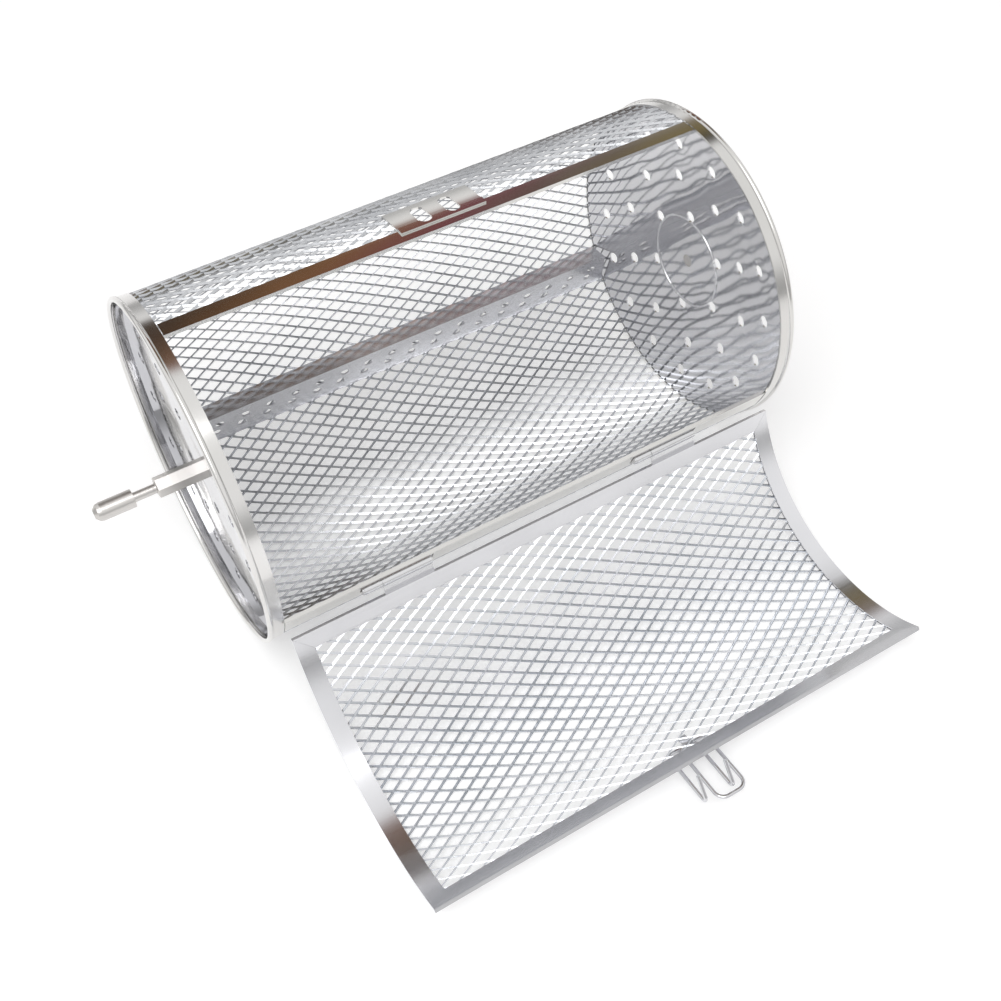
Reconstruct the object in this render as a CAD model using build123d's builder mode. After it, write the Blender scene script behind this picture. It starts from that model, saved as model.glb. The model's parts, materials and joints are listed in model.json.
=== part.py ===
"""A rotating roasting drum of expanded steel mesh, with a hinged mesh door and a wire latch.

Lengths are millimetres and angles are degrees. X runs along the drum from its drive shaft to its
idle end, and Z is up. The origin is on the drum's axis, at the shoulder behind the drive shaft's
round tip. An angle round the drum is counted from +Y towards +Z. The door's pieces are drawn on a
plane that carries them from where they lie when it is shut to where they lie when it is open.
"""

from build123d import *
from math import asin, atan2, cos, degrees, hypot, radians, sin, sqrt
import os

full_turn = 360.0

# ---- Sheet and mesh ------------------------------------------------------------------------------
mesh_sheet = 0.3
disc_sheet = 0.6
band_sheet = 0.6
strip_sheet = 0.5
tab_sheet = 0.6
leaf_sheet = 0.5
baffle_sheet = 0.6
seat_gap = 0.02

# ---- Drum ------------------------------------------------------------------------------------------
drum_length = 198.0
rim_radius = 60.0
bead_radius = 1.0
mesh_inset = 1.4
band_width = 5.4
disc_recess = 4.6
disc_flange = 2.4
left_dish = 1.8
right_dish = 5.3
bead_gap = 0.3

# ---- Air holes and the pressed ridge in the end discs ----------------------------------------------
hole_radius = 2.1
hole_ring_shares = (0.8, 0.576, 0.329)
hole_ring_counts = (16, 10, 6)
hole_ring_angles = (11.3, 2.6, 26.5)
ridge_share = 0.295
ridge_wire = 0.5

# ---- Drive shaft and idle pin ----------------------------------------------------------------------
tip_length = 13.0
tip_radius = 3.1
tip_taper = 1.2
neck_length = 7.5
neck_radius = 1.65
hex_across_flats = 6.2
hex_stand_out = 10.3
edge_break = 0.3
spigot_radius = 2.4
spigot_clearance = 0.02
rivet_radius = 4.0
rivet_height = 0.8
idle_radius = 3.1
idle_length = 18.0
idle_foot_radius = 5.5
idle_foot_height = 1.0

# ---- Door opening ----------------------------------------------------------------------------------
opening_top = 90.2
opening_low = 195.8
top_strip_width = 5.5
hinge_strip_width = 10.0
lip_width = 4.0
strip_end_gap = 0.3

# ---- Agitator baffle -------------------------------------------------------------------------------
baffle_low_angle = -42.0
baffle_ridge_angle = -32.0
baffle_top_angle = -28.5
baffle_height = 8.4
baffle_end_gap = 0.9
baffle_hole_length = 3.4
baffle_hole_width = 2.2
baffle_hole_pitch = 10.1
baffle_hole_count = 18
baffle_hole_rows = (4.6, 8.2)
baffle_hole_stagger = 1.9

# ---- Latch tab and its slots -----------------------------------------------------------------------
tab_centre = 0.2
tab_width = 30.0
tab_low_angle = 87.0
tab_high_angle = 73.6
slot_length = 10.2
slot_width = 4.6
slot_spacing = 10.0
slot_angle = 81.0
slot_cut = 3.0

# ---- Door ------------------------------------------------------------------------------------------
door_end_gap = 0.5
door_top_gap = 0.7
door_low_gap = 0.7
frame_width = 6.0
mitre_gap = 0.02
door_rest_clearance = 0.05

# ---- Hinges ----------------------------------------------------------------------------------------
hinge_angle = 199.0
knuckle_radius = 1.5
pin_radius = 0.9
pin_clearance = 0.05
knuckle_gap = 0.2
body_knuckle_length = 6.3
hinge_spans = (("left", -66.2, -41.9), ("right", 38.0, 62.3))
body_leaf_length = 5.0
door_leaf_length = 9.0
window_clearance = 0.8
window_end_gap = 1.0
pin_head_radius = 1.4
pin_head_length = 0.6

# ---- Latch wire and its bracket --------------------------------------------------------------------
latch_centre = 5.4
latch_wire_radius = 0.7
latch_clearance = 0.07
tunnel_wall = 0.5
latch_inset = 10.0
finger_half_width = 5.2
finger_reach = 21.6
finger_corner = 3.2
bar_corner = 1.6
prong_shift = 4.3
prong_spread = 10.4
prong_reach = 18.0
prong_tail = 7.6
prong_turn = 125.0
prong_corner = 1.6
tunnel_low = -3.5
tunnel_high = -0.1
bracket_back = 3.5
bracket_front = 8.0
latch_drop_angle = 20.0

# ---- Places that follow from the sizes ---------------------------------------------------------------
left_mouth = neck_length + hex_stand_out
mid_x = left_mouth + drum_length / 2
right_mouth = left_mouth + drum_length
mesh_radius = rim_radius - mesh_inset
mesh_inner = mesh_radius - mesh_sheet / 2
mesh_outer = mesh_radius + mesh_sheet / 2
flange_outer = mesh_inner - seat_gap
band_inner = mesh_outer + seat_gap
band_outer = band_inner + band_sheet
strip_inner = mesh_outer + seat_gap
strip_outer = strip_inner + strip_sheet
lip_outer = mesh_inner - seat_gap
lip_inner = lip_outer - strip_sheet
tab_inner = strip_outer + seat_gap
tab_outer = tab_inner + tab_sheet
leaf_inner = strip_outer + seat_gap
leaf_outer = leaf_inner + leaf_sheet
hinge_radius = leaf_outer
window_half_height = knuckle_radius + window_clearance
baffle_ridge_radius = lip_outer - baffle_height
mesh_half = drum_length / 2 - 2 * bead_radius - bead_gap
strip_half = drum_length / 2 - band_width - strip_end_gap
door_half = drum_length / 2 - band_width - door_end_gap
baffle_half = drum_length / 2 - disc_recess - disc_sheet - baffle_end_gap


def arc_angle(length, radius=mesh_radius):
    """The angle that a length along a circle takes up."""
    return degrees(length / radius)


def polar(radius, angle):
    """A point in a cross-section of the drum."""
    return (radius * cos(radians(angle)), radius * sin(radians(angle)))


def between(start, end, share):
    """The point that lies a share of the way from one cross-section point to another."""
    return (start[0] + share * (end[0] - start[0]), start[1] + share * (end[1] - start[1]))


door_top = opening_top + arc_angle(door_top_gap)
door_low = opening_low - arc_angle(door_low_gap)
web_angle = arc_angle(strip_sheet)
hinge_y, hinge_z = polar(hinge_radius, hinge_angle)
door_centre_z = strip_outer + door_rest_clearance - rim_radius
door_open_angle = full_turn - hinge_angle - degrees(asin((door_centre_z - hinge_z) / hinge_radius))
door_centre_y = hinge_y + hinge_radius * cos(radians(hinge_angle - 180 + door_open_angle))
tunnel_outer = latch_wire_radius + latch_clearance + tunnel_wall
latch_radius = leaf_inner + tunnel_outer - seat_gap
latch_angle = door_top + arc_angle(latch_inset)
latch_y = door_centre_y + polar(latch_radius, latch_angle + door_open_angle)[0]
latch_z = door_centre_z + polar(latch_radius, latch_angle + door_open_angle)[1]

# ---- Planes ------------------------------------------------------------------------------------------
drum_section = Plane(origin=(mid_x, 0, 0), x_dir=(0, 1, 0), z_dir=(1, 0, 0))
door_section = Plane(
    origin=(mid_x, door_centre_y, door_centre_z),
    x_dir=(0, cos(radians(door_open_angle)), sin(radians(door_open_angle))),
    z_dir=(1, 0, 0),
)
latch_lean = latch_angle + door_open_angle - 90 + latch_drop_angle
latch_plane = Plane(
    origin=(mid_x + latch_centre, latch_y, latch_z),
    x_dir=(1, 0, 0),
    z_dir=(0, -sin(radians(latch_lean)), cos(radians(latch_lean))),
)
slot_plane = Plane(
    origin=(mid_x, strip_outer * cos(radians(slot_angle)), strip_outer * sin(radians(slot_angle))),
    x_dir=(1, 0, 0),
    z_dir=(0, cos(radians(slot_angle)), sin(radians(slot_angle))),
)


def sector(inner, outer, start, end):
    """A strip of a ring between two angles, in section."""
    with BuildSketch(Plane.XY, mode=Mode.PRIVATE) as strip:
        with BuildLine():
            CenterArc((0, 0), outer, start, end - start)
            Line(polar(outer, end), polar(inner, end))
            CenterArc((0, 0), inner, end, start - end)
            Line(polar(inner, start), polar(outer, start))
        make_face()
    return strip.sketch


def hem(edge, way, outside_width, inside_width):
    """A sheet folded round an edge of the mesh, in section: outside, edge and inside."""
    with BuildSketch(Plane.XY, mode=Mode.PRIVATE) as fold:
        add(sector(strip_inner, strip_outer, edge, edge + way * arc_angle(outside_width)))
        add(sector(lip_inner, strip_outer, edge, edge + way * web_angle))
        add(sector(lip_inner, lip_outer, edge, edge + way * arc_angle(inside_width)))
    return fold.sketch


def latch_slots():
    """The two round-ended slots for the latch wire's hooks, on a plane that touches the drum."""
    with BuildSketch(Plane.XY, mode=Mode.PRIVATE) as slots:
        with Locations((tab_centre, 0)):
            with GridLocations(slot_spacing, 1, 2, 1):
                SlotOverall(slot_length, slot_width, rotation=90)
    return slots.sketch


def dish_height(dish, radius):
    """How far a dished disc stands off its edge at a radius."""
    ball = (flange_outer**2 + dish**2) / (2 * dish)
    return dish - (ball - sqrt(ball**2 - radius**2))


def mitre(end, edge, way, offset):
    """The plane across a corner of the door's frame, halfway between its two strips."""
    y, z = polar(mesh_radius, edge)
    across = (-way * sin(radians(edge)), way * cos(radians(edge)))
    corner = door_section.from_local_coords(Vector(y, z, end * door_half))
    above = door_section.from_local_coords(Vector(2 * y, 2 * z, end * door_half))
    inward = door_section.from_local_coords(
        Vector(y + across[0], z + across[1], end * (door_half - 1))
    )
    normal = (above - corner).cross(inward - corner).normalized()
    if normal.X * end < 0:
        normal = normal * -1
    return Plane(origin=corner + normal * offset, z_dir=normal)


def save(builder, name):
    """Names a finished piece and writes its file."""
    builder.part.label = name
    export_step(builder.part, "parts/" + name + ".step")


os.makedirs("parts", exist_ok=True)

# ---- End discs: a dished sheet with a turned-out flange, air holes and a pressed ridge ---------------
for name, edge_x, way, dish in (
    ("left_end_disc", left_mouth + disc_recess, -1, left_dish),
    ("right_end_disc", right_mouth - disc_recess, 1, right_dish),
):
    outer_x = edge_x
    inner_x = edge_x - way * disc_sheet
    half_radius = flange_outer / 2
    with BuildPart() as end_disc:
        with BuildSketch(Plane.XY):
            with BuildLine():
                Line((outer_x + dish, 0), (inner_x + dish, 0))
                ThreePointArc(
                    (inner_x + dish, 0),
                    (inner_x + dish_height(dish, half_radius), half_radius),
                    (inner_x, flange_outer),
                )
                Line((inner_x, flange_outer), (outer_x + way * disc_flange, flange_outer))
                Line(
                    (outer_x + way * disc_flange, flange_outer),
                    (outer_x + way * disc_flange, flange_outer - disc_sheet),
                )
                flange_root = flange_outer - disc_sheet
                root_x = outer_x + dish_height(dish, flange_root)
                Line((outer_x + way * disc_flange, flange_root), (root_x, flange_root))
                ThreePointArc(
                    (root_x, flange_root),
                    (outer_x + dish_height(dish, half_radius), half_radius),
                    (outer_x + dish, 0),
                )
            make_face()
            ridge_radius = ridge_share * rim_radius
            with Locations((inner_x + dish_height(dish, ridge_radius), ridge_radius)):
                Circle(ridge_wire)
        revolve(axis=Axis.X)
        with BuildSketch(Plane.YZ.offset(edge_x - 2 * right_dish)):
            Circle(spigot_radius + spigot_clearance)
            for share, count, first in zip(hole_ring_shares, hole_ring_counts, hole_ring_angles):
                with PolarLocations(share * rim_radius, count, start_angle=first):
                    Circle(hole_radius)
        extrude(amount=4 * right_dish, mode=Mode.SUBTRACT)
    save(end_disc, name)

# ---- Rim bands: a strip round each end, ending in a rolled bead --------------------------------------
for name, mouth_x, way in (("left_rim_band", left_mouth, 1), ("right_rim_band", right_mouth, -1)):
    bead_x = mouth_x + way * bead_radius
    edge_x = mouth_x + way * band_width
    with BuildPart() as rim_band:
        with BuildSketch(Plane.XY):
            with BuildLine():
                Polyline(
                    (bead_x, band_inner),
                    (edge_x, band_inner),
                    (edge_x, band_outer),
                    (bead_x, band_outer),
                    close=True,
                )
            make_face()
            with Locations((bead_x, rim_radius - bead_radius)):
                Circle(bead_radius)
        revolve(axis=Axis.X)
    save(rim_band, name)

# ---- Drum wall: the mesh, cut for the hinge knuckles and behind the latch tab's slots ----------------
with BuildPart() as drum_mesh:
    with BuildSketch(drum_section.offset(-mesh_half)):
        add(sector(mesh_inner, mesh_outer, opening_low + web_angle, full_turn + opening_top - web_angle))
    extrude(amount=2 * mesh_half)
    for side, low_x, high_x in hinge_spans:
        with BuildSketch(drum_section.offset(low_x - window_end_gap)):
            add(
                sector(
                    lip_inner - 1,
                    strip_outer + 1,
                    hinge_angle - arc_angle(window_half_height),
                    hinge_angle + arc_angle(window_half_height),
                )
            )
        extrude(amount=high_x - low_x + 2 * window_end_gap, mode=Mode.SUBTRACT)
    with BuildSketch(slot_plane):
        add(latch_slots())
    extrude(amount=slot_cut, both=True, mode=Mode.SUBTRACT)
save(drum_mesh, "drum_mesh")

# ---- Strips folded over the mesh along both sides of the opening -------------------------------------
with BuildPart() as upper_strip:
    with BuildSketch(drum_section.offset(-strip_half)):
        add(hem(opening_top, -1, top_strip_width, lip_width))
    extrude(amount=2 * strip_half)
    with BuildSketch(slot_plane):
        add(latch_slots())
    extrude(amount=slot_cut, both=True, mode=Mode.SUBTRACT)
save(upper_strip, "upper_strip")

with BuildPart() as hinge_strip:
    with BuildSketch(drum_section.offset(-strip_half)):
        add(hem(opening_low, 1, hinge_strip_width, lip_width))
    extrude(amount=2 * strip_half)
    for side, low_x, high_x in hinge_spans:
        with BuildSketch(drum_section.offset(low_x - window_end_gap)):
            add(
                sector(
                    lip_inner - 1,
                    strip_outer + 1,
                    hinge_angle - arc_angle(window_half_height),
                    hinge_angle + arc_angle(window_half_height),
                )
            )
        extrude(amount=high_x - low_x + 2 * window_end_gap, mode=Mode.SUBTRACT)
save(hinge_strip, "hinge_strip")

# ---- Latch tab: a small plate with two slots for the latch wire's hooks ------------------------------
tab_step = opening_top - arc_angle(top_strip_width) - arc_angle(seat_gap)
with BuildPart() as latch_tab:
    with BuildSketch(drum_section.offset(tab_centre - tab_width / 2)):
        add(sector(tab_inner, tab_outer, tab_step - arc_angle(tab_sheet), tab_low_angle))
        add(sector(strip_inner, tab_outer, tab_step - arc_angle(tab_sheet), tab_step))
        add(sector(strip_inner, strip_inner + tab_sheet, tab_high_angle, tab_step))
    extrude(amount=tab_width)
    with BuildSketch(slot_plane):
        add(latch_slots())
    extrude(amount=slot_cut, both=True, mode=Mode.SUBTRACT)
save(latch_tab, "latch_tab")

# ---- Agitator baffle: a bent sheet whose feet stand on the inside of the mesh ------------------------
low_foot = polar(lip_outer, baffle_low_angle)
top_foot = polar(lip_outer, baffle_top_angle)
ridge_point = polar(baffle_ridge_radius, baffle_ridge_angle)
face_length = hypot(ridge_point[0] - low_foot[0], ridge_point[1] - low_foot[1])
face_slope = degrees(atan2(ridge_point[1] - low_foot[1], ridge_point[0] - low_foot[0]))
inner_ridge = polar(baffle_ridge_radius + 1.3 * baffle_sheet, baffle_ridge_angle)
inner_low = polar(lip_outer, baffle_low_angle + arc_angle(1.5 * baffle_sheet))
inner_top = polar(lip_outer, baffle_top_angle - arc_angle(1.1 * baffle_sheet))
with BuildPart() as agitator_baffle:
    with BuildSketch(drum_section.offset(-baffle_half)):
        with BuildLine():
            Polyline(low_foot, ridge_point, top_foot, inner_top, inner_ridge, inner_low, close=True)
        make_face()
    extrude(amount=2 * baffle_half)
    face_plane = Plane(
        origin=(mid_x, low_foot[0], low_foot[1]),
        x_dir=(1, 0, 0),
        z_dir=(0, sin(radians(face_slope)), -cos(radians(face_slope))),
    )
    with BuildSketch(face_plane):
        for row, height in enumerate(baffle_hole_rows):
            away = face_plane.to_local_coords(
                Vector(mid_x, *between(low_foot, ridge_point, height / face_length))
            )
            shift = (row - 0.5) * baffle_hole_stagger
            with Locations((shift, away.Y)):
                with GridLocations(baffle_hole_pitch, 1, baffle_hole_count, 1):
                    SlotOverall(baffle_hole_length, baffle_hole_width)
    extrude(amount=1.5 * baffle_sheet, both=True, mode=Mode.SUBTRACT)
save(agitator_baffle, "agitator_baffle")

# ---- Drive shaft: round tip, neck, hexagon, and a spigot riveted over inside the left disc -----------
shaft_seat = left_mouth + disc_recess + left_dish - seat_gap
rivet_x = left_mouth + disc_recess + disc_sheet + left_dish + ridge_wire
with BuildPart() as drive_shaft:
    with BuildSketch(Plane.XY):
        with BuildLine():
            Polyline(
                (-tip_length, 0),
                (-tip_length, tip_radius / 2),
                (-tip_length + tip_taper, tip_radius - edge_break),
                (-tip_length + 2 * tip_taper, tip_radius),
                (0, tip_radius),
                (0, neck_radius),
                (neck_length + 1, neck_radius),
                (neck_length + 1, spigot_radius),
                (rivet_x, spigot_radius),
                (rivet_x, rivet_radius),
                (rivet_x + rivet_height, rivet_radius - rivet_height),
                (rivet_x + rivet_height, 0),
                close=True,
            )
        make_face()
    revolve(axis=Axis.X)
    with BuildSketch(Plane.YZ.offset(neck_length)):
        RegularPolygon(hex_across_flats / 2, 6, major_radius=False, rotation=30)
    extrude(amount=shaft_seat - neck_length)
    hexagon_end = drive_shaft.edges().filter_by_position(Axis.X, neck_length - 0.01, neck_length + 0.01)
    chamfer(hexagon_end.filter_by(GeomType.LINE), length=edge_break)
save(drive_shaft, "drive_shaft")

# ---- Idle pin: a plain pin on a foot, outside the right disc ------------------------------------------
idle_seat = right_mouth - disc_recess + right_dish + seat_gap
with BuildPart() as idle_pin:
    with BuildSketch(Plane.XY):
        with BuildLine():
            Polyline(
                (idle_seat - disc_sheet, 0),
                (idle_seat - disc_sheet, spigot_radius),
                (idle_seat, spigot_radius),
                (idle_seat, idle_foot_radius),
                (idle_seat + idle_foot_height, idle_foot_radius),
                (idle_seat + idle_foot_height, idle_radius),
                (idle_seat + idle_length - edge_break, idle_radius),
                (idle_seat + idle_length, idle_radius - edge_break),
                (idle_seat + idle_length, 0),
                close=True,
            )
        make_face()
    revolve(axis=Axis.X)
save(idle_pin, "idle_pin")

# ---- Door: mesh, and a frame of folded strips mitred at the corners ----------------------------------
with BuildPart() as door_mesh:
    with BuildSketch(door_section.offset(-door_half + strip_sheet + seat_gap)):
        add(
            sector(
                mesh_inner,
                mesh_outer,
                door_top + web_angle + arc_angle(seat_gap),
                door_low - web_angle - arc_angle(seat_gap),
            )
        )
    extrude(amount=2 * (door_half - strip_sheet - seat_gap))
save(door_mesh, "door_mesh")

for name, edge, way in (("door_free_edge", door_top, 1), ("door_hinge_edge", door_low, -1)):
    with BuildPart() as door_edge:
        with BuildSketch(door_section.offset(-door_half)):
            add(hem(edge, way, frame_width, frame_width))
        extrude(amount=2 * door_half)
        for end in (-1, 1):
            cut = mitre(end, edge, way, -mitre_gap)
            split(bisect_by=cut, keep=Keep.BOTTOM)
    save(door_edge, name)

for name, end in (("door_left_edge", -1), ("door_right_edge", 1)):
    with BuildPart() as door_edge:
        with BuildSketch(door_section.offset(end * door_half)):
            add(sector(lip_inner, strip_outer, door_top, door_low))
        extrude(amount=-end * frame_width)
        with BuildSketch(door_section.offset(end * (door_half - strip_sheet))):
            add(sector(lip_outer, strip_inner, door_top - 1, door_low + 1))
        extrude(amount=-end * frame_width, mode=Mode.SUBTRACT)
        for edge, way in ((door_top, 1), (door_low, -1)):
            cut = mitre(end, edge, way, mitre_gap)
            split(bisect_by=cut, keep=Keep.TOP)
    save(door_edge, name)

# ---- Hinges: a short knuckle on the drum, a long one on the door, and a pin through both -------------
bore_radius = pin_radius + pin_clearance
for side, low_x, high_x in hinge_spans:
    split_x = low_x + body_knuckle_length
    with BuildPart() as body_leaf:
        with BuildSketch(drum_section.offset(low_x)):
            add(sector(leaf_inner, leaf_outer, hinge_angle, hinge_angle + arc_angle(body_leaf_length)))
            with Locations(polar(hinge_radius, hinge_angle)):
                Circle(knuckle_radius)
                Circle(bore_radius, mode=Mode.SUBTRACT)
        extrude(amount=body_knuckle_length - knuckle_gap)
    save(body_leaf, side + "_hinge_drum_leaf")

    with BuildPart() as door_leaf:
        with BuildSketch(door_section.offset(split_x)):
            add(sector(leaf_inner, leaf_outer, hinge_angle - arc_angle(door_leaf_length), hinge_angle))
            with Locations(polar(hinge_radius, hinge_angle)):
                Circle(knuckle_radius)
                Circle(bore_radius, mode=Mode.SUBTRACT)
        extrude(amount=high_x - split_x)
    save(door_leaf, side + "_hinge_door_leaf")

    with BuildPart() as hinge_pin:
        with BuildSketch(drum_section.offset(low_x - pin_head_length - seat_gap)):
            with Locations(polar(hinge_radius, hinge_angle)):
                Circle(pin_head_radius)
        extrude(amount=pin_head_length)
        with BuildSketch(drum_section.offset(low_x - pin_head_length)):
            with Locations(polar(hinge_radius, hinge_angle)):
                Circle(pin_radius)
        extrude(amount=high_x - low_x + pin_head_length)
    save(hinge_pin, side + "_hinge_pin")

# ---- Latch wire: a rounded loop for the finger, and two hooked prongs on the same bar -----------------
half_loop_corner = finger_half_width - bar_corner
with BuildPart() as latch_wire:
    with BuildLine(latch_plane) as half_loop:
        bar = Line((0, 0), (half_loop_corner, 0))
        inner_bend = JernArc(bar @ 1, bar % 1, bar_corner, 90)
        leg = Line(inner_bend @ 1, (finger_half_width, finger_reach - finger_corner))
        outer_bend = JernArc(leg @ 1, leg % 1, finger_corner, 90)
        Line(outer_bend @ 1, (0, finger_reach))
    with BuildSketch(Plane(origin=latch_plane.origin, z_dir=latch_plane.x_dir)):
        Circle(latch_wire_radius)
    sweep(path=half_loop.line)
    mirror(about=Plane(origin=latch_plane.origin, z_dir=latch_plane.x_dir))
    left_prong = -prong_shift - prong_spread / 2
    right_prong = -prong_shift + prong_spread / 2
    with BuildLine(latch_plane) as left_shank:
        FilletPolyline((-half_loop_corner, 0), (left_prong, 0), (left_prong, prong_reach), radius=bar_corner)
    with BuildSketch(Plane(origin=left_shank.line @ 0, z_dir=left_shank.line % 0)):
        Circle(latch_wire_radius)
    sweep(path=left_shank.line)
    with BuildLine(latch_plane) as right_shank:
        Line((right_prong, 0), (right_prong, prong_reach))
    with BuildSketch(Plane(origin=right_shank.line @ 0, z_dir=right_shank.line % 0)):
        Circle(latch_wire_radius)
    sweep(path=right_shank.line)
    for prong_place in (left_prong, right_prong):
        hook_plane = Plane(
            origin=latch_plane.from_local_coords(Vector(prong_place, prong_reach, 0)),
            x_dir=latch_plane.y_dir,
            z_dir=(-1, 0, 0),
        )
        with BuildLine(hook_plane) as hook:
            bend = JernArc((0, 0), (1, 0), prong_corner, prong_turn)
            Line(bend @ 1, bend @ 1 + (bend % 1) * prong_tail)
        with BuildSketch(Plane(origin=hook.line @ 0, z_dir=hook.line % 0)):
            Circle(latch_wire_radius)
        sweep(path=hook.line)
save(latch_wire, "latch_wire")

# ---- Latch bracket: a plate on the door's free edge with a tunnel for the latch wire's bar -----------
with BuildPart() as latch_bracket:
    with BuildSketch(door_section.offset(latch_centre + tunnel_low)):
        add(
            sector(
                leaf_inner,
                leaf_outer,
                latch_angle - arc_angle(bracket_front),
                latch_angle + arc_angle(bracket_back),
            )
        )
        with Locations(polar(latch_radius, latch_angle)):
            Circle(tunnel_outer)
            Circle(latch_wire_radius + latch_clearance, mode=Mode.SUBTRACT)
    extrude(amount=tunnel_high - tunnel_low)
save(latch_bracket, "latch_bracket")
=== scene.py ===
"""The mesh roasting drum dressed for its picture: steel finishes, expanded mesh, floor and light."""

import json
import math

import bmesh
import bpy
from mathutils import Matrix, Vector


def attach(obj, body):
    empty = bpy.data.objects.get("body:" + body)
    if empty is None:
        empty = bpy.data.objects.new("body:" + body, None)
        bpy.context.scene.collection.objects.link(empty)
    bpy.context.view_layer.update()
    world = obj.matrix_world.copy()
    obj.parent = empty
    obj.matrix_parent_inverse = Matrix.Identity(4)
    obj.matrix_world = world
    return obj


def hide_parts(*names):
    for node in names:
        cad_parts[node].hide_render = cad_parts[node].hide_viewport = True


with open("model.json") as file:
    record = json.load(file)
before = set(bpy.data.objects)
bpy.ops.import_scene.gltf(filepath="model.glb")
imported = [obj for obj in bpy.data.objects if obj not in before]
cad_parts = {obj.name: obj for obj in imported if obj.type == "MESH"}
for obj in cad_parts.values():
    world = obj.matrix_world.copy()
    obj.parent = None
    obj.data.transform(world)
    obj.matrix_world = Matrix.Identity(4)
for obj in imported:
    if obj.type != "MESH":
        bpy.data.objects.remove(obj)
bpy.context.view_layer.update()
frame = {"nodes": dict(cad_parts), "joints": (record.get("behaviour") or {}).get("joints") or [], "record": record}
MM = 0.001

# ---- Sizes of the drum, as in the part's source ------------------------------------------------------
MID_X = 116.8 * MM
RIM_RADIUS = 60.0 * MM
MESH_RADIUS = 58.6 * MM
DRUM_MESH_HALF = 96.6 * MM
OPENING_TOP = math.radians(90.2)
OPENING_LOW = math.radians(195.8)
FOLD = math.radians(0.55)
DOOR_TOP = math.radians(90.2 + 0.684)
DOOR_LOW = math.radians(195.8 - 0.684)
DOOR_MESH_HALF = 92.6 * MM
HALF_LONG_WAY = 4.1 * MM
HALF_SHORT_WAY = 2.3 * MM
STRAND_WIDTH = 0.92 * MM
STRAND_SHEET = 0.4 * MM
DRUM_STRAND_TILT = math.radians(-38.0)
DOOR_STRAND_TILT = math.radians(38.0)
STRAND_WAIST = 0.8
WAIST_SHARE = 0.1

# ---- Openings cut through the drum's mesh, across from its middle and round its axis -----------------
SLOT_PLACES = (-4.8, 5.2)
SLOT_HALF_WIDTH = 2.3
SLOT_ANGLES = (math.radians(76.0), math.radians(86.0))
SLOT_MARGIN = 0.1 * MM
HINGE_SPANS = ((-66.2, -41.9), (38.0, 62.3))
HINGE_END_ROOM = 1
HINGE_ANGLES = (math.radians(196.8), math.radians(201.2))
HINGE_MARGIN = 0.05 * MM

# ---- Finishes ----------------------------------------------------------------------------------------
STREAK_SCALE = 900.0
SCRATCH_DEPTH = 0.0002
DENT_SCALE = 38.0
DENT_DEPTH = 0.002
GRAIN_ALONG = (0.03, 1, 1)

# ---- Floor, room, lamp and camera --------------------------------------------------------------------
FLOOR_HALF = 6.0
FLOOR_DARK = (0.93, 0.93, 0.93)
FLOOR_LIGHT = (0.95, 0.95, 0.95)
FLOOR_GLOW = 0.24
ROOM_LEVEL = 0.72
WALL_LEFT = math.radians(2.0)
WALL_RIGHT = math.radians(50.0)
WALL_FOOT = math.radians(22.0)
WALL_HEAD = math.radians(72.0)
WALL_BLUR = math.radians(6.0)
HAZE_FOOT = math.radians(4.0)
HAZE_HEAD = math.radians(24.0)
HAZE_DEPTH = 0.55
WALL_TONES = (
    (0.0, (0.02, 0.018, 0.016)),
    (0.18, (0.06, 0.035, 0.02)),
    (0.36, (0.26, 0.13, 0.06)),
    (0.52, (0.20, 0.06, 0.08)),
    (0.66, (0.16, 0.13, 0.11)),
    (0.82, (0.24, 0.19, 0.08)),
    (1.0, (0.02, 0.02, 0.02)),
)
LAMP_PLACE = (-0.5, -0.6, 1.6)
LAMP_AIM = (MID_X, -0.05, 0)
LAMP_SIZE = 1.2
LAMP_WATTS = 12
CAMERA_PLACE = (-27.2 * MM, -270.7 * MM, 311.1 * MM)
CAMERA_RIGHT = (0.8564, -0.5162, -0.0022)
CAMERA_FORWARD = (0.3176, 0.5302, -0.7861)
CAMERA_LENS = 45.25
CAMERA_SENSOR = 36.0
CAMERA_NEAR = 0.01

# The door's curve has its middle on the drum's axis when shut. Here that middle is turned open.
door_joint = next(joint for joint in frame["joints"] if joint["name"] == "door_hinge")
door_turn = math.radians(door_joint["range_deg"][1])
hinge_place = Vector(door_joint["pos_m"])
hinge_line = Vector((0, hinge_place.y, hinge_place.z))
door_centre = Matrix.Rotation(door_turn, 3, "X") @ -hinge_line + hinge_line


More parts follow.
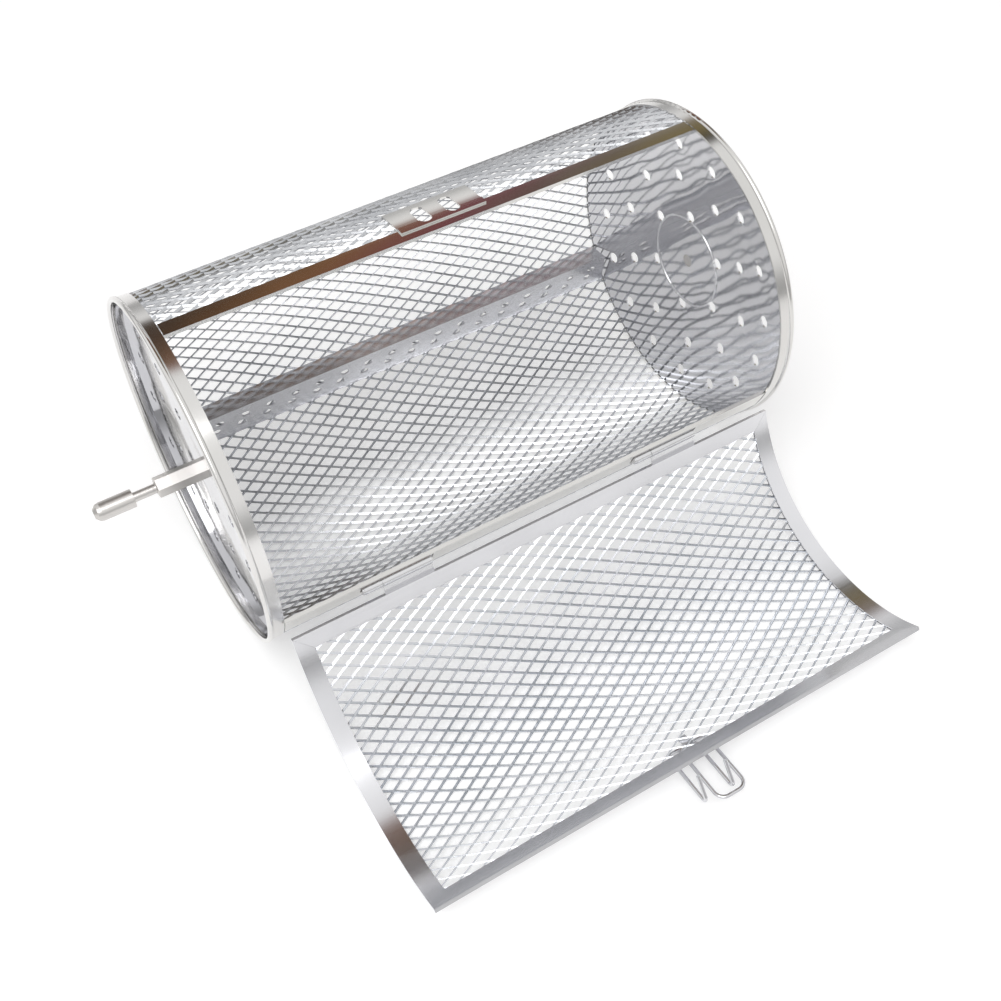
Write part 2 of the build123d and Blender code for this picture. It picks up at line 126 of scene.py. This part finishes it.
# ---- Small helpers for shader trees --------------------------------------------------------------------
class Shader:
    """A material's node tree, with short ways to add and join nodes."""

    def __init__(self, name):
        self.material = bpy.data.materials.new(name)
        self.material.use_nodes = True
        self.tree = self.material.node_tree
        self.nodes = self.tree.nodes
        self.surface = self.nodes["Principled BSDF"]

    def add(self, kind, **settings):
        """Adds a node. A setting is a property, or an input when its name starts with in_."""
        node = self.nodes.new(kind)
        for key, value in settings.items():
            if not key.startswith("in_"):
                setattr(node, key, value)
        for key, value in settings.items():
            if key.startswith("in_"):
                name = key[3:].replace("_", " ")
                socket = node.inputs[int(name)] if name.isdigit() else node.inputs[name]
                if isinstance(value, bpy.types.NodeSocket):
                    self.tree.links.new(value, socket)
                else:
                    socket.default_value = value
        return node

    def join(self, source, target):
        """Links an output to an input."""
        self.tree.links.new(source, target)

    def noise(self, place, scale, detail=3.0, stretch=None):
        """Noise in object space, stretched where a finish runs one way."""
        if stretch:
            mapping = self.add("ShaderNodeMapping", in_Vector=place, in_Scale=stretch)
            place = mapping.outputs["Vector"]
        cloud = self.add("ShaderNodeTexNoise", in_Vector=place, in_Scale=scale, in_Detail=detail)
        return cloud.outputs["Fac"]

    def blend(self, amount, dark, light, low=0.35, high=0.65):
        """A colour that runs from dark to light as an amount runs from low to high."""
        ramp = self.add("ShaderNodeValToRGB", in_Fac=amount)
        ramp.color_ramp.elements[0].position = low
        ramp.color_ramp.elements[0].color = (*dark, 1)
        ramp.color_ramp.elements[1].position = high
        ramp.color_ramp.elements[1].color = (*light, 1)
        return ramp.outputs["Color"]

    def spread(self, amount, low, high):
        """A number that runs from low to high as an amount runs over the middle of its range."""
        middle = {"in_From_Min": 0.3, "in_From_Max": 0.7}
        mapped = self.add("ShaderNodeMapRange", in_Value=amount, **middle, in_To_Min=low, in_To_Max=high)
        return mapped.outputs["Result"]


def steel(name, dark, light, smooth, rough, grain=(1, 1, 1), dent=0.0, scratch=0.04, patch=18.0):
    """Bright sheet steel: a faint tone change, a rolled grain, fine scratches and slight dents."""
    shader = Shader(name)
    place = shader.add("ShaderNodeTexCoord").outputs["Object"]
    tone = shader.noise(place, patch, 4.0)
    streak = shader.noise(place, STREAK_SCALE, 2.0, stretch=grain)
    surface = shader.surface
    surface.inputs["Metallic"].default_value = 1.0
    shader.join(shader.blend(tone, dark, light), surface.inputs["Base Color"])
    half = {"operation": "MULTIPLY_ADD", "in_1": 0.5}
    mixed = shader.add("ShaderNodeMath", in_0=streak, in_2=0.25, **half).outputs[0]
    mixed = shader.add("ShaderNodeMath", in_0=tone, in_2=mixed, **half).outputs[0]
    shader.join(shader.spread(mixed, smooth, rough), surface.inputs["Roughness"])
    fine = shader.add("ShaderNodeBump", in_Strength=scratch, in_Distance=SCRATCH_DEPTH, in_Height=streak)
    if dent:
        wave = shader.noise(place, DENT_SCALE, 1.0)
        wide = shader.add("ShaderNodeBump", in_Strength=dent, in_Distance=DENT_DEPTH, in_Height=wave)
        shader.join(wide.outputs["Normal"], fine.inputs["Normal"])
    shader.join(fine.outputs["Normal"], surface.inputs["Normal"])
    return shader.material


FINISHES = {
    "end_sheet": steel(
        "pressed_disc_steel", (0.62, 0.62, 0.64), (0.70, 0.70, 0.72), 0.03, 0.06, dent=0.14, scratch=0.006
    ),
    "rim_sheet": steel(
        "rolled_rim_steel", (0.66, 0.65, 0.63), (0.76, 0.75, 0.74), 0.08, 0.17,
        grain=(1, 0.05, 0.05), scratch=0.02,
    ),
    "edge_strip": steel(
        "folded_strip_steel", (0.66, 0.65, 0.63), (0.76, 0.75, 0.73), 0.06, 0.15,
        grain=GRAIN_ALONG, dent=0.10, scratch=0.02,
    ),
    "door_frame": steel(
        "door_strip_steel", (0.68, 0.68, 0.70), (0.78, 0.78, 0.80), 0.10, 0.22,
        grain=GRAIN_ALONG, dent=0.12, scratch=0.02,
    ),
    "baffle_sheet": steel(
        "baffle_steel", (0.66, 0.66, 0.68), (0.76, 0.76, 0.78), 0.10, 0.22, grain=GRAIN_ALONG, dent=0.15
    ),
    "turned_steel": steel(
        "turned_shaft_steel", (0.56, 0.54, 0.52), (0.68, 0.66, 0.64), 0.16, 0.30,
        grain=(1, 0.06, 0.06), scratch=0.12,
    ),
    "hinge_steel": steel(
        "hinge_steel", (0.68, 0.68, 0.69), (0.78, 0.78, 0.79), 0.10, 0.20, grain=(0.05, 1, 1)
    ),
    "latch_steel": steel("latch_wire_steel", (0.62, 0.62, 0.64), (0.74, 0.74, 0.76), 0.08, 0.16),
    "drum_mesh_steel": steel(
        "drum_mesh_steel", (0.50, 0.51, 0.53), (0.64, 0.65, 0.67), 0.12, 0.24, scratch=0.06, patch=60.0
    ),
    "door_mesh_steel": steel(
        "door_mesh_steel", (0.56, 0.58, 0.61), (0.70, 0.71, 0.74), 0.12, 0.24, scratch=0.06, patch=60.0
    ),
}

for part in frame["record"]["subparts"]:
    mesh = frame["nodes"][part["node"]].data
    mesh.materials.clear()
    mesh.materials.append(FINISHES[part["material_slot"]])


# ---- Expanded mesh -----------------------------------------------------------------------------------
class Tree:
    """A Geometry Nodes tree, with short ways to add inputs, nodes and sums."""

    def __init__(self, name):
        self.group = bpy.data.node_groups.new(name, "GeometryNodeTree")
        self.group.interface.new_socket("Geometry", in_out="INPUT", socket_type="NodeSocketGeometry")
        self.group.interface.new_socket("Geometry", in_out="OUTPUT", socket_type="NodeSocketGeometry")
        self.start = self.group.nodes.new("NodeGroupInput")
        self.end = self.group.nodes.new("NodeGroupOutput")
        self.names = {}

    def value(self, name, default, kind="NodeSocketFloat"):
        """Adds an input of the tree and gives the socket that carries it."""
        socket = self.group.interface.new_socket(name, in_out="INPUT", socket_type=kind)
        if default is not None:
            socket.default_value = default
        self.names[name] = socket.identifier
        return self.start.outputs[name]

    def add(self, kind, inputs=(), **settings):
        """Adds a node with its properties, and its inputs linked or set."""
        node = self.group.nodes.new(kind)
        for key, item in settings.items():
            setattr(node, key, item)
        for key, item in dict(inputs).items():
            socket = node.inputs[key]
            if isinstance(item, bpy.types.NodeSocket):
                self.group.links.new(item, socket)
            else:
                socket.default_value = item
        return node

    def sum(self, operation, *terms):
        """A sum of sockets and numbers."""
        return self.add("ShaderNodeMath", dict(enumerate(terms)), operation=operation).outputs[0]

    def vector(self, x=0.0, y=0.0, z=0.0):
        """A vector of three sockets or numbers."""
        return self.add("ShaderNodeCombineXYZ", {0: x, 1: y, 2: z}).outputs[0]

    def place(self):
        """The x, y and z of each point."""
        position = self.add("GeometryNodeInputPosition").outputs[0]
        return self.add("ShaderNodeSeparateXYZ", {0: position}).outputs


def mesh_tree():
    """One strand for each cell of a flat grid, leaning left and right by turns, rolled to a cylinder."""
    tree = Tree("expanded_mesh")
    columns = tree.value("Columns", 47, "NodeSocketInt")
    rows = tree.value("Rows", 113, "NodeSocketInt")
    step_x = tree.value("Column step", HALF_LONG_WAY)
    step_y = tree.value("Row step", HALF_SHORT_WAY)
    width = tree.value("Strand width", STRAND_WIDTH)
    sheet = tree.value("Strand sheet", STRAND_SHEET)
    tilt = tree.value("Strand tilt", DRUM_STRAND_TILT)
    waist = tree.value("Waist", STRAND_WAIST)
    radius = tree.value("Radius", MESH_RADIUS)
    middle = tree.value("Middle angle", 0.0)
    centre = tree.value("Centre", (0, 0, 0), "NodeSocketVector")
    steel_input = tree.value("Steel", None, "NodeSocketMaterial")

    size_x = tree.sum("MULTIPLY", tree.sum("SUBTRACT", columns, 1.0), step_x)
    size_y = tree.sum("MULTIPLY", tree.sum("SUBTRACT", rows, 1.0), step_y)
    grid_size = {"Size X": size_x, "Size Y": size_y, "Vertices X": columns, "Vertices Y": rows}
    grid = tree.add("GeometryNodeMeshGrid", grid_size).outputs["Mesh"]
    place = tree.place()
    half_x = tree.sum("MULTIPLY", size_x, 0.5)
    half_y = tree.sum("MULTIPLY", size_y, 0.5)
    column = tree.sum("ROUND", tree.sum("DIVIDE", tree.sum("ADD", place[0], half_x), step_x))
    row = tree.sum("ROUND", tree.sum("DIVIDE", tree.sum("ADD", place[1], half_y), step_y))
    odd = tree.sum("MODULO", tree.sum("ADD", column, row), 2.0)
    slant = tree.sum("ARCTAN2", step_y, step_x)
    lean = tree.sum("MULTIPLY", slant, tree.sum("MULTIPLY_ADD", odd, -2.0, 1.0))
    squares = tree.sum("ADD", tree.sum("POWER", step_x, 2.0), tree.sum("POWER", step_y, 2.0))
    length = tree.sum("SQRT", squares)
    long = tree.sum("ADD", length, tree.sum("MULTIPLY", width, 0.5))

    # One bar, narrower at its middle, turned about its own length.
    bar_size = tree.vector(long, width, sheet)
    bar = tree.add("GeometryNodeMeshCube", {"Size": bar_size, "Vertices X": 3}).outputs["Mesh"]
    along = tree.place()
    near = tree.sum("LESS_THAN", tree.sum("ABSOLUTE", along[0]), tree.sum("MULTIPLY", length, WAIST_SHARE))
    narrow = tree.sum("SUBTRACT", 1.0, tree.sum("MULTIPLY", near, tree.sum("SUBTRACT", 1.0, waist)))
    waisted = tree.vector(along[0], tree.sum("MULTIPLY", along[1], narrow), along[2])
    bar = tree.add("GeometryNodeSetPosition", {"Geometry": bar, "Position": waisted}).outputs[0]
    turned = {"Geometry": bar, "Rotation": tree.vector(tilt)}
    bar = tree.add("GeometryNodeTransform", turned).outputs[0]

    # The bar at every cell, then the flat mesh rolled about the x axis and moved to its centre.
    cells = {"Points": grid, "Instance": bar, "Rotation": tree.vector(z=lean)}
    strands = tree.add("GeometryNodeInstanceOnPoints", cells).outputs[0]
    flat = tree.add("GeometryNodeRealizeInstances", {"Geometry": strands}).outputs[0]
    point = tree.place()
    angle = tree.sum("ADD", tree.sum("DIVIDE", point[1], radius), middle)
    reach = tree.sum("ADD", point[2], radius)
    rolled = tree.vector(
        point[0],
        tree.sum("MULTIPLY", reach, tree.sum("COSINE", angle)),
        tree.sum("MULTIPLY", reach, tree.sum("SINE", angle)),
    )
    moved = tree.add("ShaderNodeVectorMath", {0: rolled, 1: centre}, operation="ADD").outputs[0]
    curved = tree.add("GeometryNodeSetPosition", {"Geometry": flat, "Position": moved}).outputs[0]
    dressed = {"Geometry": curved, "Material": steel_input}
    done = tree.add("GeometryNodeSetMaterial", dressed).outputs[0]
    tree.group.links.new(done, tree.end.inputs[0])
    return tree


def expanded_mesh(name, tree, values):
    """Evaluates the mesh tree with its own values and keeps the result as a plain mesh."""
    holder = bpy.data.objects.new(name + "_maker", bpy.data.meshes.new(name + "_maker"))
    bpy.context.scene.collection.objects.link(holder)
    maker = holder.modifiers.new("maker", "NODES")
    maker.node_group = tree.group
    for key, item in values.items():
        maker[tree.names[key]] = item
    ready = holder.evaluated_get(bpy.context.evaluated_depsgraph_get())
    mesh = bpy.data.meshes.new_from_object(ready)
    bpy.data.objects.remove(holder)
    mesh.name = name
    piece = bpy.data.objects.new(name, mesh)
    bpy.context.scene.collection.objects.link(piece)
    return piece


def rolled_panel(name, half, arc, tilt, middle, centre, finish):
    """A panel of expanded mesh, by half its length, its arc and the angle and place of its middle."""
    rows = round(arc * MESH_RADIUS / HALF_SHORT_WAY)
    columns = round(2 * half / HALF_LONG_WAY)
    return expanded_mesh(
        name,
        strands,
        {
            "Columns": columns,
            "Rows": rows,
            "Column step": 2 * (half - STRAND_WIDTH / 2) / columns,
            "Row step": (arc * MESH_RADIUS - STRAND_WIDTH) / rows,
            "Strand tilt": tilt,
            "Middle angle": middle,
            "Centre": centre,
            "Steel": FINISHES[finish],
        },
    )


def clear_gap(piece, low, high, angles, margin):
    """Takes out the strands that reach into an opening, from low to high across and between two angles."""
    low_x = MID_X + low * MM - margin
    high_x = MID_X + high * MM + margin
    low_angle = angles[0] - margin / MESH_RADIUS
    high_angle = angles[1] + margin / MESH_RADIUS
    work = bmesh.new()
    work.from_mesh(piece.data)
    work.verts.ensure_lookup_table()
    seen = set()
    out = []
    for vert in work.verts:
        if vert.index in seen:
            continue
        strand = [vert]
        seen.add(vert.index)
        queue = [vert]
        while queue:
            for edge in queue.pop().link_edges:
                for other in edge.verts:
                    if other.index not in seen:
                        seen.add(other.index)
                        strand.append(other)
                        queue.append(other)
        for corner in strand:
            angle = math.atan2(corner.co.z, corner.co.y) % (2 * math.pi)
            if low_x < corner.co.x < high_x and low_angle < angle < high_angle:
                out.extend(strand)
                break
    bmesh.ops.delete(work, geom=out, context="VERTS")
    work.to_mesh(piece.data)
    work.free()


strands = mesh_tree()
drum_wall = rolled_panel(
    "drum_expanded_mesh",
    DRUM_MESH_HALF,
    2 * math.pi - (OPENING_LOW - OPENING_TOP) - 2 * FOLD,
    DRUM_STRAND_TILT,
    (OPENING_LOW + OPENING_TOP) / 2 + math.pi,
    (MID_X, 0, 0),
    "drum_mesh_steel",
)
door_panel = rolled_panel(
    "door_expanded_mesh",
    DOOR_MESH_HALF,
    DOOR_LOW - DOOR_TOP - 2 * FOLD,
    DOOR_STRAND_TILT,
    (DOOR_LOW + DOOR_TOP) / 2 + door_turn,
    (MID_X, door_centre.y, door_centre.z),
    "door_mesh_steel",
)
for slot_x in SLOT_PLACES:
    clear_gap(drum_wall, slot_x - SLOT_HALF_WIDTH, slot_x + SLOT_HALF_WIDTH, SLOT_ANGLES, SLOT_MARGIN)
for hinge_low, hinge_high in HINGE_SPANS:
    clear_gap(
        drum_wall, hinge_low - HINGE_END_ROOM, hinge_high + HINGE_END_ROOM, HINGE_ANGLES, HINGE_MARGIN
    )
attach(drum_wall, "drum")
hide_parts("drum_mesh")
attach(door_panel, "door")
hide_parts("door_mesh")

# ---- Floor -------------------------------------------------------------------------------------------
floor_mesh = bpy.data.meshes.new("floor")
floor_mesh.from_pydata(
    [(x * FLOOR_HALF, y * FLOOR_HALF, -RIM_RADIUS) for x, y in ((-1, -1), (1, -1), (1, 1), (-1, 1))],
    [],
    [(0, 1, 2, 3)],
)
floor = bpy.data.objects.new("floor", floor_mesh)
bpy.context.scene.collection.objects.link(floor)
floor_shader = Shader("pale_floor")
floor_place = floor_shader.add("ShaderNodeTexCoord").outputs["Object"]
floor_tone = floor_shader.noise(floor_place, 3.0, 2.0)
floor_colour = floor_shader.blend(floor_tone, FLOOR_DARK, FLOOR_LIGHT)
floor_shader.join(floor_colour, floor_shader.surface.inputs["Base Color"])
floor_shader.surface.inputs["Roughness"].default_value = 0.6
floor_shader.surface.inputs["Specular IOR Level"].default_value = 0.2


def shown_rays(shader_tree):
    """One for the rays that show the background: straight from the camera, or by metal or glass."""
    rays = shader_tree.nodes.new("ShaderNodeLightPath")
    total = rays.outputs["Is Camera Ray"]
    for name in ("Is Glossy Ray", "Is Transmission Ray"):
        either = shader_tree.nodes.new("ShaderNodeMath")
        either.operation = "MAXIMUM"
        shader_tree.links.new(total, either.inputs[0])
        shader_tree.links.new(rays.outputs[name], either.inputs[1])
        total = either.outputs[0]
    return total


# The floor's own glow brings it up to white, and its diffuse part keeps the shadow.
floor_shown = shown_rays(floor_shader.tree)
floor_glow = floor_shader.add("ShaderNodeMath", operation="MULTIPLY", in_0=floor_shown, in_1=FLOOR_GLOW)
floor_shader.surface.inputs["Emission Color"].default_value = (1, 1, 1, 1)
floor_shader.join(floor_glow.outputs[0], floor_shader.surface.inputs["Emission Strength"])
floor_mesh.materials.append(floor_shader.material)

# ---- Room --------------------------------------------------------------------------------------------
# A white room, dimmer near the floor, with one warm dark wall high on the far side. Steel shows both,
# and the camera itself sees plain white.
world = bpy.data.worlds.new("studio")
bpy.context.scene.world = world
world.use_nodes = True
room = world.node_tree
room.nodes.clear()


def room_sum(operation, first, second=0.0, third=0.0, clamp=False):
    """A sum in the room's tree."""
    node = room.nodes.new("ShaderNodeMath")
    node.operation = operation
    node.use_clamp = clamp
    for socket, item in zip(node.inputs, (first, second, third)):
        if isinstance(item, bpy.types.NodeSocket):
            room.links.new(item, socket)
        else:
            socket.default_value = item
    return node.outputs[0]


def soft_step(value, low, high):
    """Runs smoothly from nothing to one as a value runs from low to high."""
    node = room.nodes.new("ShaderNodeMapRange")
    node.interpolation_type = "SMOOTHSTEP"
    room.links.new(value, node.inputs["Value"])
    node.inputs["From Min"].default_value = low
    node.inputs["From Max"].default_value = high
    return node.outputs["Result"]


way = room.nodes.new("ShaderNodeTexCoord").outputs["Generated"]
parts = room.nodes.new("ShaderNodeSeparateXYZ")
room.links.new(way, parts.inputs[0])
bearing = room_sum("ARCTAN2", parts.outputs[0], parts.outputs[1])
height = room_sum("ARCSINE", parts.outputs[2])
across = room_sum("DIVIDE", room_sum("SUBTRACT", bearing, WALL_LEFT), WALL_RIGHT - WALL_LEFT, clamp=True)
tones = room.nodes.new("ShaderNodeValToRGB")
room.links.new(across, tones.inputs[0])
tones.color_ramp.elements.remove(tones.color_ramp.elements[1])
tones.color_ramp.elements[0].position = WALL_TONES[0][0]
tones.color_ramp.elements[0].color = (*WALL_TONES[0][1], 1)
for position, tone in WALL_TONES[1:]:
    tones.color_ramp.elements.new(position).color = (*tone, 1)
wall = soft_step(height, WALL_FOOT, WALL_FOOT + WALL_BLUR)
wall = room_sum("MULTIPLY", wall, soft_step(height, WALL_HEAD, WALL_HEAD - WALL_BLUR))
wall = room_sum("MULTIPLY", wall, soft_step(bearing, WALL_LEFT - WALL_BLUR, WALL_LEFT))
wall = room_sum("MULTIPLY", wall, soft_step(bearing, WALL_RIGHT + WALL_BLUR, WALL_RIGHT))
seen_straight = room.nodes.new("ShaderNodeLightPath").outputs["Is Camera Ray"]
not_straight = room_sum("SUBTRACT", 1.0, seen_straight)
wall = room_sum("MULTIPLY", wall, not_straight)
paint = room.nodes.new("ShaderNodeMix")
paint.data_type = "RGBA"
room.links.new(wall, paint.inputs["Factor"])
paint.inputs[6].default_value = (1, 1, 1, 1)
room.links.new(tones.outputs["Color"], paint.inputs[7])
room_light = room.nodes.new("ShaderNodeBackground")
room.links.new(paint.outputs[2], room_light.inputs["Color"])
level = room_sum("MULTIPLY_ADD", shown_rays(room), 1.0 - ROOM_LEVEL, ROOM_LEVEL)
low_down = room_sum("SUBTRACT", 1.0, soft_step(height, HAZE_FOOT, HAZE_HEAD))
low_down = room_sum("MULTIPLY", low_down, not_straight)
level = room_sum("MULTIPLY", level, room_sum("MULTIPLY_ADD", low_down, -HAZE_DEPTH, 1.0))
room.links.new(level, room_light.inputs["Strength"])
room_out = room.nodes.new("ShaderNodeOutputWorld")
room.links.new(room_light.outputs[0], room_out.inputs[0])

# ---- Lamp and camera ---------------------------------------------------------------------------------
# One square soft light, high on the left, turned towards the drum's middle.
lamp_data = bpy.data.lights.new("key_light", "AREA")
lamp_data.shape = "SQUARE"
lamp_data.size = LAMP_SIZE
lamp_data.energy = LAMP_WATTS
lamp = bpy.data.objects.new("key_light", lamp_data)
lamp.location = LAMP_PLACE
lamp.rotation_euler = (Vector(LAMP_PLACE) - Vector(LAMP_AIM)).to_track_quat("Z", "Y").to_euler()
bpy.context.scene.collection.objects.link(lamp)

# The camera looks down on the drum from its left front, on the photograph's own lens.
camera_data = bpy.data.cameras.new("camera")
camera_data.sensor_width = CAMERA_SENSOR
camera_data.lens = CAMERA_LENS
camera_data.clip_start = CAMERA_NEAR
camera = bpy.data.objects.new("camera", camera_data)
right = Vector(CAMERA_RIGHT).normalized()
forward = Vector(CAMERA_FORWARD).normalized()
up = right.cross(forward).normalized()
right = forward.cross(up).normalized()
camera_turn = Matrix((right, up, -forward)).transposed().to_4x4()
camera.matrix_world = Matrix.Translation(CAMERA_PLACE) @ camera_turn
bpy.context.scene.collection.objects.link(camera)
bpy.context.scene.camera = camera
bpy.context.scene.view_settings.view_transform = "Standard"
